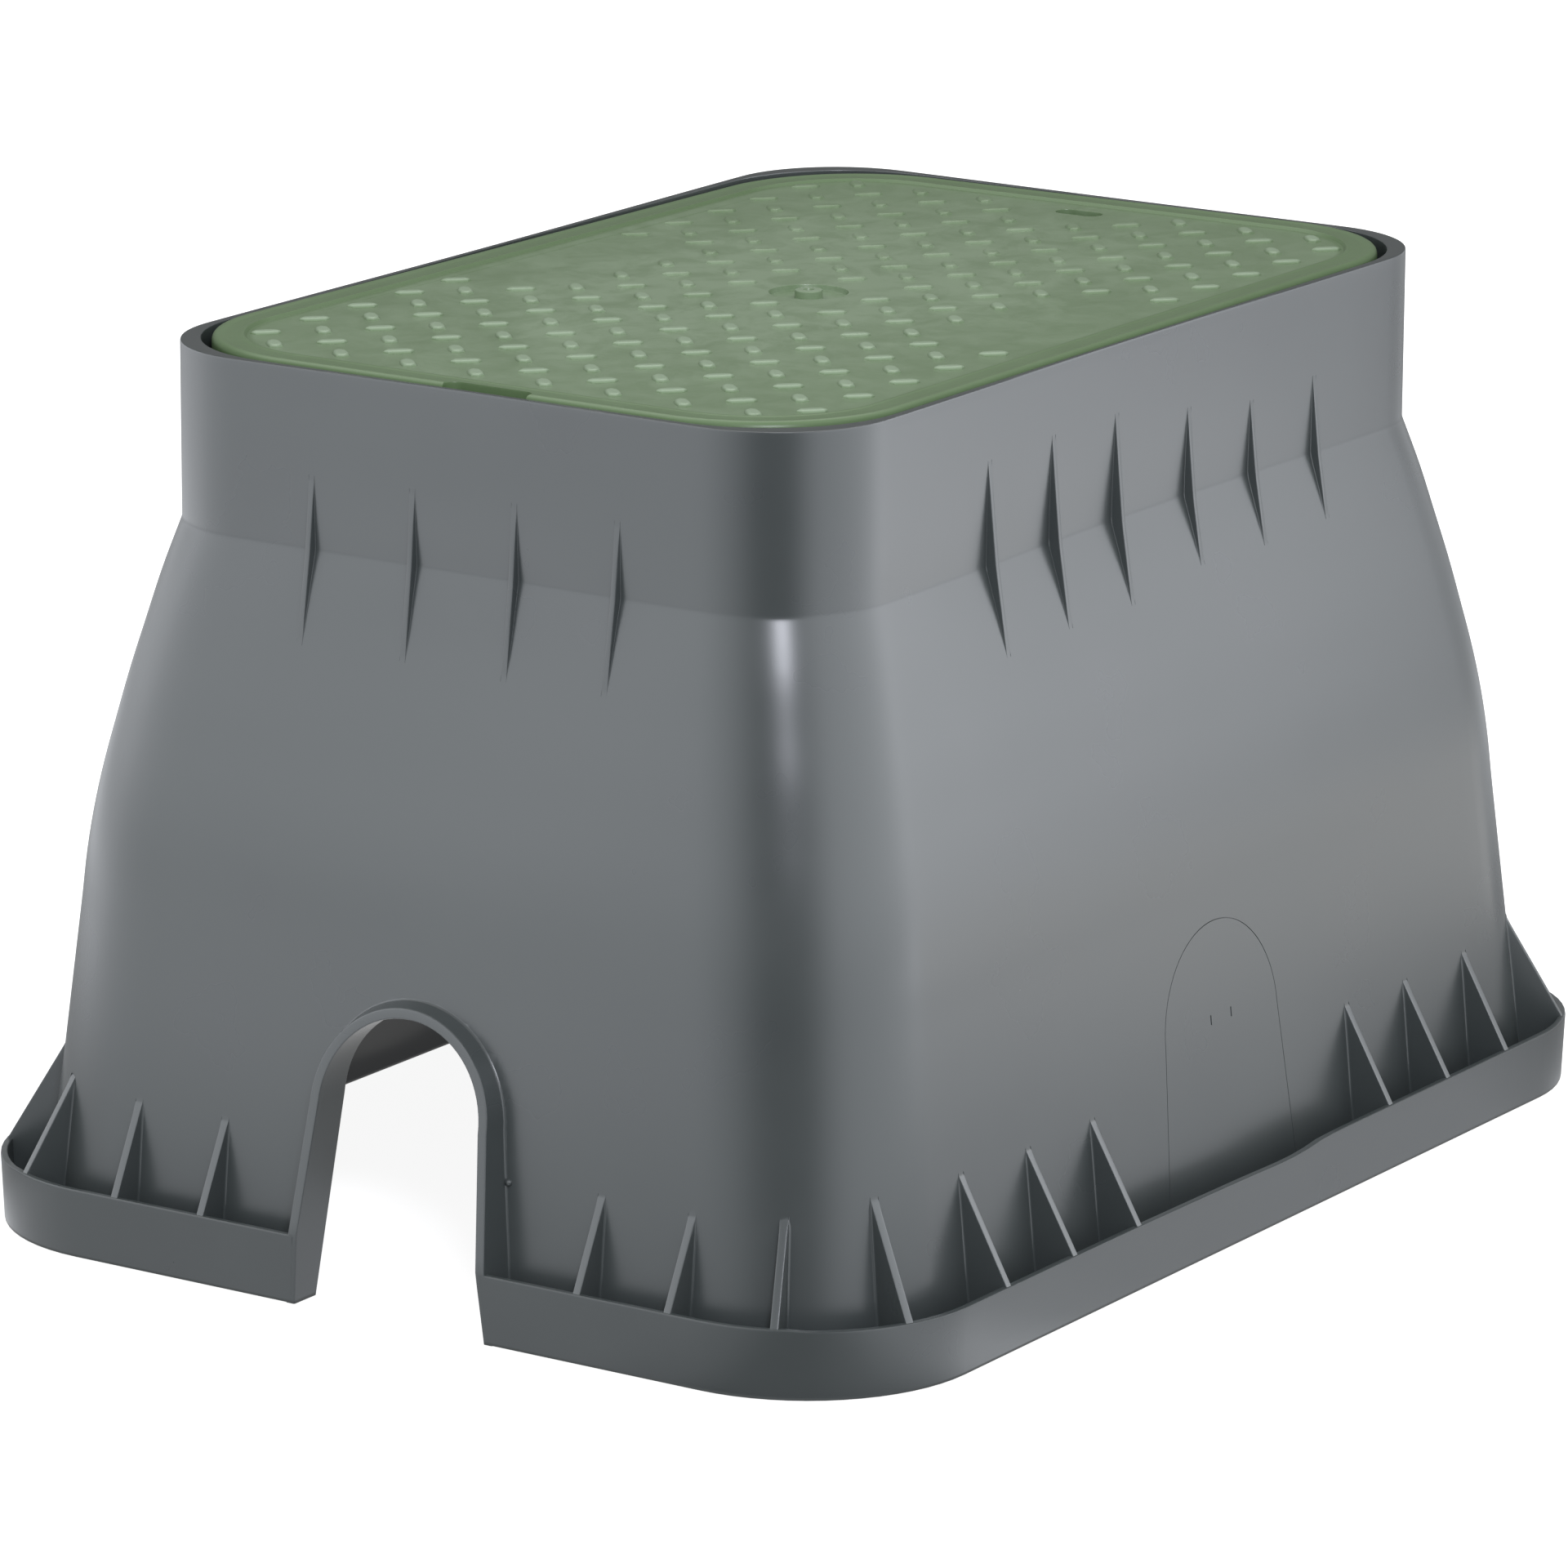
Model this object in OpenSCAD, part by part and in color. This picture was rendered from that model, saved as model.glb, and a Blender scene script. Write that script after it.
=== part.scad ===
// Irrigation valve box: one moulded box that flares from a straight neck down to a
// broad foot, and one drop-in lid with a tread. Millimetres, +Z up, the origin at
// the middle of the foot, the long way of the box along X.

/* [Neck] */
// length of the neck, outside, along X
top_l = 404; // [372:1:430]
// width of the neck, outside, along Y
top_w = 269; // [250:1:284]
// height of the box, from the foot to the rim
box_h = 300; // [280:1:340]
// height of the straight neck under the rim
neck_h = 60; // [52:1:72]
// radius of the neck's upright corners
corner_r = 42; // [34:1:50]
// thickness of the walls
wall_t = 3.2; // [2.8:0.1:4.2]

/* [Foot] */
// length of the foot, outside, along X
base_l = 500; // [484:1:530]
// width of the foot, outside, along Y
base_w = 372; // [358:1:396]
// radius of the foot's upright corners
base_r = 61; // [54:1:70]
// height of the upright band around the foot
band_h = 24; // [20:1:28]
// thickness of the band
band_t = 2.8; // [2.4:0.1:3.6]
// how far the band leans outward over its height
band_lean = 1; // [0.5:0.1:1.6]
// clear width of the trough between the wall and the band, at the ends
trough_w = 6.7; // [5:0.1:9]
// thickness of the trough's floor
floor_t = 3; // [2.5:0.5:4]

/* [Ribs] */
// thickness of the gussets between the wall and the band
gusset_t = 3; // [2.4:0.1:4]
// height of the gussets above the band
gusset_h = 30; // [24:1:36]
// clear way from an end's sleeve to its first gusset
end_clear = 32; // [26:1:38]
// clear way from the scored arch to the first gusset of a long side
side_clear = 40; // [32:1:48]
// from the last gusset of an end to where the foot's corner begins
end_last = 15; // [8:1:20]
// from the last gusset of a long side to where the foot's corner begins
side_last = 26; // [16:1:34]
// the two gussets of a foot's corner, in degrees from each side
corner_turn = 24; // [18:1:30]
// thickness of the ribs across the neck's crease
rib_t = 2.6; // [2:0.1:3.6]
// reach of a neck rib above and below the crease
rib_reach = 28; // [22:1:32]
// spacing of the neck ribs
rib_pitch = 40.2; // [36:0.2:42]
// the long sides' first neck ribs, each from the middle
rib_first = 23.2; // [20:0.2:28]

/* [Pipe openings] */
// radius of the arch over a pipe opening
arch_r = 32; // [26:1:36]
// height of the arch's centre above the foot
arch_z = 68; // [60:1:74]
// how much wider each leg of the arch is at the foot
arch_splay = 6; // [3:0.5:8]
// thickness of the sleeve around the opening
sleeve_t = 4.5; // [3.5:0.1:6]
// depth of the scored arch on the long sides
score_d = 1.2; // [0.8:0.1:1.6]

/* [Lid] */
// gap between the lid and the rim, all round
lid_gap = 0.8; // [0.5:0.1:1.2]
// radius of the lid's corners
lid_r = 54; // [50:1:60]
// depth of the lid's skirt below the rim
skirt_d = 11; // [9:0.5:14]
// thickness of the lid's plate
plate_t = 4; // [3:0.1:5]
// height of the lid's border above the rim
proud = 1; // [0.4:0.1:1.6]
// width of the lid's smooth border
border_w = 11; // [9:0.5:13]
// drop from the border to the tread field
field_drop = 1.2; // [0.6:0.1:1.6]
// length of the lifting slot, across the lid
slot_l = 18; // [14:1:22]
// width of the lifting slot
slot_w = 8; // [7:0.5:10]
// from the lid's end to the middle of the slot
slot_in = 24; // [21:1:28]
// length of the finger notch along the lid's end
notch_l = 40; // [30:1:48]
// depth of the finger notch
notch_d = 6; // [5:0.5:8]
// diameter of the round recess at the lid's middle
recess_d = 27; // [24:1:29]
// depth of the recess
recess_h = 2.4; // [1.6:0.1:2.8]
// diameter of the boss in the recess
boss_d = 10; // [8:1:12]
// thickness of the ribs under the lid
stiff_t = 2.2; // [1.8:0.1:3]

/* [Tread] */
// spacing of the tread lugs that lie one way
tread_pitch = 27; // [25:0.1:30]
// length of a lug
lug_l = 11; // [9:0.5:12]
// width of a lug at its middle
lug_w = 3.8; // [3:0.1:4.6]
// height of a lug
lug_h = 0.9; // [0.6:0.1:1.2]
// length of the two bare plates beside the long edges
bare_l = 88; // [82:1:106]
// width of the bare plates, from the lid's edge
bare_w = 58; // [52:1:62]

/* [Hidden] */
$fn = 96;
dark_grey = [0.36, 0.38, 0.39];
leaf_green = [0.42, 0.5, 0.38];
neck_z = box_h - neck_h;
wall_flare = min(base_l - top_l, base_w - top_w) / 2 - trough_w - band_t + 0.5;
// how the wall leaves the neck: share of the height below the crease, share of the flare
profile = [[0, 0], [0.075, 0.141], [0.146, 0.256], [0.217, 0.369], [0.283, 0.464], [0.333, 0.533],
    [0.375, 0.585], [0.417, 0.628], [0.458, 0.664], [0.492, 0.686], [0.533, 0.71], [0.583, 0.741], [1, 1]];
corner_steps = 16;
corner_grow = 0.37;
wall_lean = atan(wall_flare * 0.259 / (neck_z * 0.417));
seat_z = box_h + proud - 1 - skirt_d;
ledge_t = 8;
ledge_w = 9;
pocket_r = 44;
lid_l = top_l - 2 * wall_t - 2 * lid_gap;
lid_w = top_w - 2 * wall_t - 2 * lid_gap;
lid_top = box_h + proud;
field_z = lid_top - field_drop;
sleeve_r = arch_r + sleeve_t;
sleeve_foot = sleeve_r + arch_splay;
slot_x = lid_l / 2 - slot_in;
foot_a = base_l / 2 - base_r;
foot_b = base_w / 2 - base_r;

// the wall's growth beyond the neck at a height
function grow(z) = wall_flare * lookup((neck_z - z) / neck_z, profile);

// one level of the flared wall, set in by a distance
function ring(z, d, inset) = [
    for (c = [[1, 1, 0], [-1, 1, 90], [-1, -1, 180], [1, -1, 270]])
    let (r = corner_r + corner_grow * d - inset)
    let (x = top_l / 2 + d - inset - r)
    let (y = top_w / 2 + d - inset - r)
    for (i = [0:corner_steps])
    let (a = c[2] + 90 * i / corner_steps)
    [c[0] * x + r * cos(a), c[1] * y + r * sin(a), z]];

// a closed skin through the wall's levels, with its ends as heights and growths
module skin(levels, inset) {
    n = 4 * (corner_steps + 1);
    m = len(levels);
    points = [for (l = levels) each ring(l[0], l[1], inset)];
    sides = [for (j = [0:m - 2], i = [0:n - 1])
        [j * n + i, j * n + (i + 1) % n, (j + 1) * n + (i + 1) % n, (j + 1) * n + i]];
    top = [for (i = [n - 1:-1:0]) i];
    bottom = [for (i = [0:n - 1]) (m - 1) * n + i];
    polyhedron(points, concat([top], sides, [bottom]), convexity = 4);
}

// a rectangle with round corners, centred
module rounded(l, w, r) {
    square([l - 2 * r, w], center = true);
    square([l, w - 2 * r], center = true);
    for (x = [-1, 1], y = [-1, 1])
        translate([x * (l / 2 - r), y * (w / 2 - r)])
            circle(r);
}

module slab(l, w, r, z, h) {
    translate([0, 0, z])
        linear_extrude(h)
            rounded(l, w, r);
}

// carries a profile round a rounded rectangle: x of the profile is outward from the
// rectangle's edge, y of the profile is up
module carried(l, w, r) {
    for (s = [[0, l / 2, w], [90, w / 2, l], [180, l / 2, w], [270, w / 2, l]])
        rotate([0, 0, s[0]])
            translate([s[1], s[2] / 2 - r, 0])
                rotate([90, 0, 0])
                    linear_extrude(s[2] - 2 * r)
                        children();
    for (c = [[1, 1, 0], [-1, 1, 90], [-1, -1, 180], [1, -1, 270]])
        translate([c[0] * (l / 2 - r), c[1] * (w / 2 - r), 0])
            rotate([0, 0, c[2]])
                rotate_extrude(angle = 90)
                    translate([r, 0])
                        children();
}

// an upright web in the plane of its profile, outward along a direction
module web(x, y, a, t) {
    translate([x, y, 0])
        rotate([90, 0, a])
            translate([0, 0, -t / 2])
                linear_extrude(t)
                    children();
}

// the arch's outline, seen from the end: a round head on splayed legs
module arch(r, foot, low) {
    translate([0, arch_z])
        circle(r);
    polygon([[-r, arch_z], [r, arch_z], [foot, 0], [foot, low], [-foot, low], [-foot, 0]]);
}

// a gusset's outline: foot on the band, head on the wall, its back inside the wall
module gusset_shape(foot, head, back) {
    head_z = band_h + gusset_h;
    back_z = band_h + gusset_h * (foot - back) / (foot - head);
    polygon([[back, 0.5], [foot, 0.5], [foot, band_h], [back, back_z]]);
}

module gussets() {
    head = grow(band_h + gusset_h);
    end_foot = (base_l - top_l) / 2 - 0.4;
    side_foot = (base_w - top_w) / 2 - 0.4;
    end_near = sleeve_foot + end_clear;
    end_far = foot_b - end_last;
    side_near = sleeve_foot + side_clear;
    side_far = foot_a - side_last;
    for (s = [0, 180]) {
        rotate([0, 0, s])
            for (k = [-1, 1], y = [end_near, end_far])
                web(top_l / 2, k * y, 0, gusset_t)
                    gusset_shape(end_foot, head, head - 2);
        rotate([0, 0, s])
            for (k = [-1, 1], i = [0:2])
                web(k * (side_near + (side_far - side_near) * i / 2), top_w / 2, 90, gusset_t)
                    gusset_shape(side_foot, head, head - 2);
    }
    for (x = [0, 1], y = [0, 1], a = [corner_turn, 90 - corner_turn])
        mirror([x, 0, 0])
            mirror([0, y, 0])
                web(foot_a, foot_b, a, gusset_t)
                    gusset_shape(base_r - 0.4, corner_reach(a, band_h + gusset_h),
                        corner_reach(a, band_h + gusset_h) - 2);
}

// how far the wall is from the centre of the foot's corner, along an angle
function corner_reach(a, z) =
    let (r = corner_r + corner_grow * grow(z))
    let (dx = foot_a - (top_l / 2 + grow(z) - r))
    let (dy = foot_b - (top_w / 2 + grow(z) - r))
    let (b = dx * cos(a) + dy * sin(a))
    sqrt(b * b - dx * dx - dy * dy + r * r) - b;

// thin ribs that bridge the crease between the neck and the shoulder
module neck_ribs() {
    out = grow(neck_z - rib_reach);
    side = [for (i = [0:2]) rib_pitch * i + rib_first];
    for (s = [0, 180]) {
        rotate([0, 0, s])
            for (y = [-1.5:1:1.5])
                web(top_l / 2, y * rib_pitch, 0, rib_t)
                    rib_shape(out);
        rotate([0, 0, s])
            for (k = [-1, 1], x = side)
                web(k * x, top_w / 2, 90, rib_t)
                    rib_shape(out);
    }
}

module rib_shape(out) {
    polygon([[-1.4, neck_z], [out - 1.4, neck_z - rib_reach - 1], [out + 0.2, neck_z - rib_reach - 1],
        [out + 0.2, neck_z - rib_reach], [0.1, neck_z + rib_reach], [-1.4, neck_z + rib_reach]]);
}

// the sleeves at the two ends, their fronts leaning back from the band to the wall
module sleeves() {
    front = base_l / 2 + band_lean * 0.4;
    top_front = top_l / 2 + grow(arch_z + sleeve_r) + 5;
    high = arch_z + sleeve_r + 4;
    rise = (front + band_lean * 0.6 - top_front) / (arch_z + sleeve_r - band_h);
    for (s = [0, 180])
        rotate([0, 0, s])
            intersection() {
                translate([top_l / 2 - 10, 0, 0])
                    rotate([90, 0, 90])
                        linear_extrude(base_l)
                            arch(sleeve_r, sleeve_foot, -1);
                web(0, 0, 0, base_w)
                    polygon([[top_l / 2 - 20, 0], [front - band_lean * 0.4, 0],
                        [front + band_lean * 0.6, band_h],
                        [front + band_lean * 0.6 - rise * (high - band_h), high], [top_l / 2 - 20, high]]);
            }
}

// the scored arch and its two small marks, square to the leaning wall
module score() {
    for (s = [0, 180])
        rotate([0, 0, s])
            translate([0, -top_w / 2 - wall_flare, 0])
                rotate([-wall_lean, 0, 0])
                    translate([0, score_d, 0])
                        rotate([90, 0, 0])
                            linear_extrude(score_d + 4)
                                score_lines();
}

module score_lines() {
    difference() {
        arch(sleeve_r + 0.7, sleeve_foot + 0.7, -1);
        arch(sleeve_r - 0.7, sleeve_foot - 0.7, -1);
        translate([0, -50])
            square([4 * sleeve_foot, 100 + 2 * floor_t], center = true);
    }
    for (x = [-6.5, 6.5])
        translate([x, arch_z + 3])
            square([1.2, 3.4], center = true);
}

module body() color(dark_grey) {
    outer = [for (p = profile) [neck_z * (1 - p[0]), wall_flare * p[1]]];
    cavity = concat([[seat_z - ledge_t, 0]], outer, [[-2, wall_flare * (1 + 0.62 * 2 / neck_z)]]);
    difference() {
        union() {
            slab(top_l, top_w, corner_r, neck_z, neck_h);
            skin([for (i = [0:len(outer) - 1]) i == 0 ? [neck_z + 1, -0.6] : outer[i]], 0);
            slab(base_l - 1, base_w - 1, base_r - 0.5, 0, floor_t);
            carried(base_l, base_w, base_r)
                polygon([[-band_t, 0], [0, 0], [band_lean, band_h - 0.6], [band_lean - 0.6, band_h],
                    [band_lean - band_t + 0.4, band_h], [-band_t, floor_t]]);
            gussets();
            neck_ribs();
            sleeves();
        }
        skin(cavity, wall_t);
        slab(top_l - 2 * wall_t - 2 * ledge_w, top_w - 2 * wall_t - 2 * ledge_w, corner_r - wall_t - 2,
            seat_z - ledge_t - 1, ledge_t + 2);
        slab(top_l - 2 * wall_t, top_w - 2 * wall_t, pocket_r, seat_z, box_h);
        for (s = [0, 180])
            rotate([0, 0, s])
                translate([top_l / 2 - 12, 0, 0])
                    rotate([90, 0, 90])
                        linear_extrude(base_l)
                            arch(arch_r, arch_r + arch_splay, -2);
        score();
    }
}

// one lug, pointed at both ends
module lug() {
    polygon([[-lug_l / 2, 0], [-lug_l / 3.4, -lug_w / 2], [lug_l / 3.4, -lug_w / 2],
        [lug_l / 2, 0], [lug_l / 3.4, lug_w / 2], [-lug_l / 3.4, lug_w / 2]]);
}

// the two bare plates, the recess, the slot and the notch stay free of lugs
function free(x, y) =
    abs(x) < lid_l / 2 - border_w - lug_l / 2 - 2 && abs(y) < lid_w / 2 - border_w - lug_l / 2 + 1
    && !(abs(x) > lid_l / 2 - lid_r && abs(y) > lid_w / 2 - lid_r
        && norm([abs(x) - lid_l / 2 + lid_r, abs(y) - lid_w / 2 + lid_r]) > lid_r - border_w - lug_l / 2 - 1)
    && !(abs(x) < bare_l / 2 && abs(y) > lid_w / 2 - bare_w)
    && norm([x, y]) > recess_d / 2 + lug_l / 2 + 2
    && !(x > slot_x - slot_w / 2 - lug_l / 2 - 4 && abs(y) < slot_l / 2 + lug_l / 2 + 3);

module tread() {
    p = tread_pitch;
    for (i = [-14:14], j = [-10:10])
        if ((i + j) % 2 == 0 && free(i * p / 2, j * p / 2))
            translate([i * p / 2, j * p / 2])
                rotate(i % 2 == 0 ? -45 : 45)
                    lug();
}

module lid() color(leaf_green) {
    low = field_z - plate_t;
    difference() {
        union() {
            carried(lid_l, lid_w, lid_r)
                polygon([[0, seat_z], [0, lid_top - 1], [-0.3, lid_top - 0.3], [-1, lid_top],
                    [1.6 - border_w, lid_top], [-border_w, field_z], [-border_w - 0.5, low], [-3.4, low],
                    [-2.6, seat_z]]);
            slab(lid_l - 2 * border_w + 2, lid_w - 2 * border_w + 2, lid_r - border_w + 1, low, plate_t);
            translate([0, 0, field_z - 0.4])
                linear_extrude(lug_h + 0.4)
                    tread();
            for (x = [-1.5:1:1.5])
                translate([x * lid_l / 4.4 - stiff_t / 2, -lid_w / 2 + 4, seat_z + 1])
                    cube([stiff_t, lid_w - 8, low - seat_z]);
            for (y = [-1, 1])
                translate([-lid_l / 2 + 4, y * lid_w / 5 - stiff_t / 2, seat_z + 1])
                    cube([lid_l - 8, stiff_t, low - seat_z]);
            translate([0, 0, low - 3])
                cylinder(d = recess_d + 7, h = 4);
            translate([slot_x, 0, seat_z + 1])
                linear_extrude(low - seat_z)
                    slot_outline(2.4);
        }
        translate([0, 0, field_z - recess_h])
            cylinder(d = recess_d, h = recess_h + 4);
        translate([slot_x, 0, seat_z - 2])
            linear_extrude(skirt_d + 10)
                slot_outline(0);
        translate([-lid_l / 2, 0, seat_z - 2])
            linear_extrude(skirt_d + 10)
                notch_outline();
    }
    translate([0, 0, field_z - recess_h - 0.4])
        difference() {
            cylinder(d = boss_d, h = recess_h + 0.6);
            translate([0, 0, recess_h - 0.6])
                cylinder(d = boss_d * 0.4, h = 4);
        }
}

// the lifting slot, its long way across the lid
module slot_outline(grown) {
    for (k = [-1, 1])
        translate([0, k * (slot_l - slot_w) / 2])
            circle(slot_w / 2 + grown);
    square([slot_w + 2 * grown, slot_l - slot_w], center = true);
}

// the finger notch in the lid's edge
module notch_outline() {
    for (k = [-1, 1])
        translate([notch_d - 4, k * (notch_l / 2 - 4)])
            circle(4);
    translate([-6, -notch_l / 2])
        square([notch_d + 2, notch_l]);
    translate([-6, 4 - notch_l / 2])
        square([notch_d + 6, notch_l - 8]);
}

body();
lid();
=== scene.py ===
import math

import bmesh
import bpy
from mathutils import Matrix, Vector


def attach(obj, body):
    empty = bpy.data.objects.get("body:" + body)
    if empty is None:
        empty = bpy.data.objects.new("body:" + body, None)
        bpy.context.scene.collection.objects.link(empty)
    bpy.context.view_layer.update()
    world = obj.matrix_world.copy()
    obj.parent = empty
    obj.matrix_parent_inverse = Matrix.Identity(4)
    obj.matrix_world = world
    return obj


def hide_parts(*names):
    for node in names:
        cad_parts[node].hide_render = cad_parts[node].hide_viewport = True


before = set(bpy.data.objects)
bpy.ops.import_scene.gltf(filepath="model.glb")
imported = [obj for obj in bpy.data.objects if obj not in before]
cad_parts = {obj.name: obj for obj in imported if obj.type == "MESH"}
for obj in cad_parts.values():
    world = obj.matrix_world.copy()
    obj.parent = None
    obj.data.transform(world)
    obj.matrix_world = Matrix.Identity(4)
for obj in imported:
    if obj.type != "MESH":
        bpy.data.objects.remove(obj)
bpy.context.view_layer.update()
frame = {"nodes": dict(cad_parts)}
print("frame loaded:", ", ".join(frame["nodes"]))

mm = 0.001
scene = bpy.context.scene
scene.view_settings.view_transform = "Standard"


def toLinear(hexText):
    parts = [int(hexText[i:i + 2], 16) / 255 for i in (1, 3, 5)]
    return [c / 12.92 if c <= 0.04045 else ((c + 0.055) / 1.055) ** 2.4 for c in parts]


# adds one node with its settings, and links or sets its inputs
def addNode(tree, kind, links=None, **settings):
    made = tree.nodes.new(kind)
    for name, value in settings.items():
        setattr(made, name, value)
    for name, value in (links or {}).items():
        if isinstance(value, bpy.types.NodeSocket):
            tree.links.new(value, made.inputs[name])
        else:
            made.inputs[name].default_value = value
    return made


def makeObject(name, points, faces):
    mesh = bpy.data.meshes.new(name)
    mesh.from_pydata([[c * mm for c in p] for p in points], [], faces)
    mesh.update()
    made = bpy.data.objects.new(name, mesh)
    scene.collection.objects.link(made)
    return made


# turns the faces outward, so that a solid can be joined to or cut from another
def faceOutward(made):
    work = bmesh.new()
    work.from_mesh(made.data)
    bmesh.ops.remove_doubles(work, verts=work.verts, dist=1e-7)
    bmesh.ops.recalc_face_normals(work, faces=work.faces)
    work.to_mesh(made.data)
    work.free()
    return made


# a closed solid through rings of points, capped at both ends
def loftSolid(name, rings):
    n = len(rings[0])
    faces = [[j * n + i, j * n + (i + 1) % n, (j + 1) * n + (i + 1) % n, (j + 1) * n + i]
             for j in range(len(rings) - 1) for i in range(n)]
    faces += [list(range(n))[::-1], [(len(rings) - 1) * n + i for i in range(n)]]
    return faceOutward(makeObject(name, [p for ring in rings for p in ring], faces))


# joins or cuts with a modifier that is applied at once
def combine(target, tools, operation):
    group = bpy.data.collections.new("tools")
    for tool in tools:
        scene.collection.objects.unlink(tool)
        group.objects.link(tool)
    scene.collection.children.link(group)
    step = target.modifiers.new("step", "BOOLEAN")
    step.operation = operation
    step.operand_type = "COLLECTION"
    step.collection = group
    step.solver = "EXACT"
    applyAll(target)
    for tool in tools:
        bpy.data.objects.remove(tool)
    bpy.data.collections.remove(group)


def applyAll(target):
    seen = bpy.context.evaluated_depsgraph_get()
    mesh = bpy.data.meshes.new_from_object(target.evaluated_get(seen))
    target.modifiers.clear()
    old = target.data
    target.data = mesh
    bpy.data.meshes.remove(old)
    mesh.name = target.name


# ---- camera ----

cameraSetup = dict(
    lens=209.02,        # mm, on a 36 mm sensor
    azimuth=33.444,     # degrees from +X that it looks along
    elevation=14.504,   # degrees that it looks down
    roll=0.279,
    distance=3.118894,  # m
    aimHeight=0.150,
    aimRight=-0.007661,
    aimUp=-0.022025,
)


def placeCamera(c):
    a, e, r = [math.radians(c[key]) for key in ("azimuth", "elevation", "roll")]
    forward = Vector((math.cos(e) * math.cos(a), math.cos(e) * math.sin(a), -math.sin(e)))
    side = Vector((math.sin(a), -math.cos(a), 0))
    up = side.cross(forward)
    right = math.cos(r) * side + math.sin(r) * up
    top = math.cos(r) * up - math.sin(r) * side
    aim = Vector((0, 0, c["aimHeight"])) + c["aimRight"] * right + c["aimUp"] * top
    made = bpy.data.objects.new("camera", bpy.data.cameras.new("camera"))
    made.data.lens = c["lens"]
    made.data.sensor_width = 36
    made.data.clip_start = 0.1
    made.data.clip_end = 50
    scene.collection.objects.link(made)
    turn = Matrix((right, top, -forward)).transposed().to_4x4()
    made.matrix_world = Matrix.Translation(aim - c["distance"] * forward) @ turn
    return made


scene.camera = placeCamera(cameraSetup)
print("camera placed")

# ---- the box's walls ----

walls = dict(
    neckLength=404, neckWidth=269, cornerRadius=42, height=300, creaseHeight=240,
    footLength=500, footWidth=372, footRadius=61,
    bandHeight=23.6, bandThickness=2.8, bandLean=1, floorThickness=3,
    wallThickness=3.2, seatHeight=289, ledgeThickness=8, ledgeWidth=9, pocketRadius=48,
    cornerGrow=0.37,    # how much of the flare the corner radius takes
    creaseBlend=1.0,    # half the height over which the crease is rounded
    # height, flare
    flare=[(0, 39), (100, 28.9), (112, 27.7), (122, 26.8), (130, 25.9), (140, 24.5), (150, 22.8), (160, 20.8),
           (172, 18.1), (188, 14.4), (205, 10.0), (222, 5.5), (240, 0)],
    # height, how far the middle of a side has drawn in as the moulding cooled
    bowLong=[(0, 0), (60, 0.3), (140, 1.4), (200, 2.4), (240, 3.0), (270, 2.2), (300, 1.4)],
    bowShort=[(0, 0), (60, 0.3), (140, 1.6), (195, 3.1), (215, 3.2), (240, 1.2), (265, 0.2), (300, 1.0)],
    # along a long side, how far the band's top edge has sunk
    bandSink=[(-190, 0.5), (-100, 0.7), (-60, 1.0), (-15, 1.5), (12, 2.0), (24, 1.5), (38, 0.2), (60, 0), (190, 0)],
    cornerSteps=16, longSteps=44, shortSteps=40,
)


# a smooth curve through knots that never overshoots them
def curveThrough(knots, x):
    if x <= knots[0][0]:
        return knots[0][1] + (x - knots[0][0]) * (knots[1][1] - knots[0][1]) / (knots[1][0] - knots[0][0])
    if x >= knots[-1][0]:
        return knots[-1][1]
    slopes = [(b[1] - a[1]) / (b[0] - a[0]) for a, b in zip(knots, knots[1:])]
    tangents = [slopes[0]] + [0 if p * q <= 0 else 2 * p * q / (p + q) for p, q in zip(slopes, slopes[1:])] + [slopes[-1]]
    for i, (a, b) in enumerate(zip(knots, knots[1:])):
        if x <= b[0]:
            h = b[0] - a[0]
            t = (x - a[0]) / h
            return ((1 + 2 * t) * (1 - t) ** 2 * a[1] + t * (1 - t) ** 2 * h * tangents[i]
                    + t * t * (3 - 2 * t) * b[1] + t * t * (t - 1) * h * tangents[i + 1])


def flareAt(z):
    w = walls
    over = w["creaseHeight"] - z
    if abs(over) < w["creaseBlend"]:
        slope = curveThrough(w["flare"], w["creaseHeight"] - w["creaseBlend"]) / w["creaseBlend"]
        return slope * (over + w["creaseBlend"]) ** 2 / (4 * w["creaseBlend"])
    return curveThrough(w["flare"], z) if over > 0 else 0.0


# how far a side has drawn in at a height, u running from -1 to 1 along it
def bowAt(knots, u, z):
    return curveThrough(knots, z) * max(0, 1 - u * u) ** 2 if abs(u) < 1 else 0.0


# one ring of points: half sizes, corner radius, height, and how much of the bow it takes
def ringAt(a, b, r, z, bow=0.0):
    w = walls
    points = []
    steps = w["cornerSteps"]
    for quarter, (sx, sy) in enumerate(((1, 1), (-1, 1), (-1, -1), (1, -1))):
        short = quarter % 2 == 0
        count = w["shortSteps"] if short else w["longSteps"]
        reach = (b if short else a) - r
        for i in range(count):
            u = -1 + 2 * i / count
            if short:
                x = sx * (a - bow * bowAt(w["bowShort"], u, z))
                points.append((x, sx * u * reach, z))
            else:
                y = sy * (b - bow * bowAt(w["bowLong"], u, z))
                points.append((-sy * u * reach, y, z))
        for i in range(steps):
            turn = math.radians(90 * quarter + 90 * i / steps)
            cx, cy = [(1, 1), (-1, 1), (-1, -1), (1, -1)][quarter]
            points.append((cx * (a - r) + r * math.cos(turn), cy * (b - r) + r * math.sin(turn), z))
    return points


def wallRing(z, inset=0.0, bow=1.0, radius=None):
    w = walls
    d = flareAt(z)
    r = w["cornerRadius"] + w["cornerGrow"] * d - inset if radius is None else radius
    return ringAt(w["neckLength"] / 2 + d - inset, w["neckWidth"] / 2 + d - inset, r, z, bow)


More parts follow.
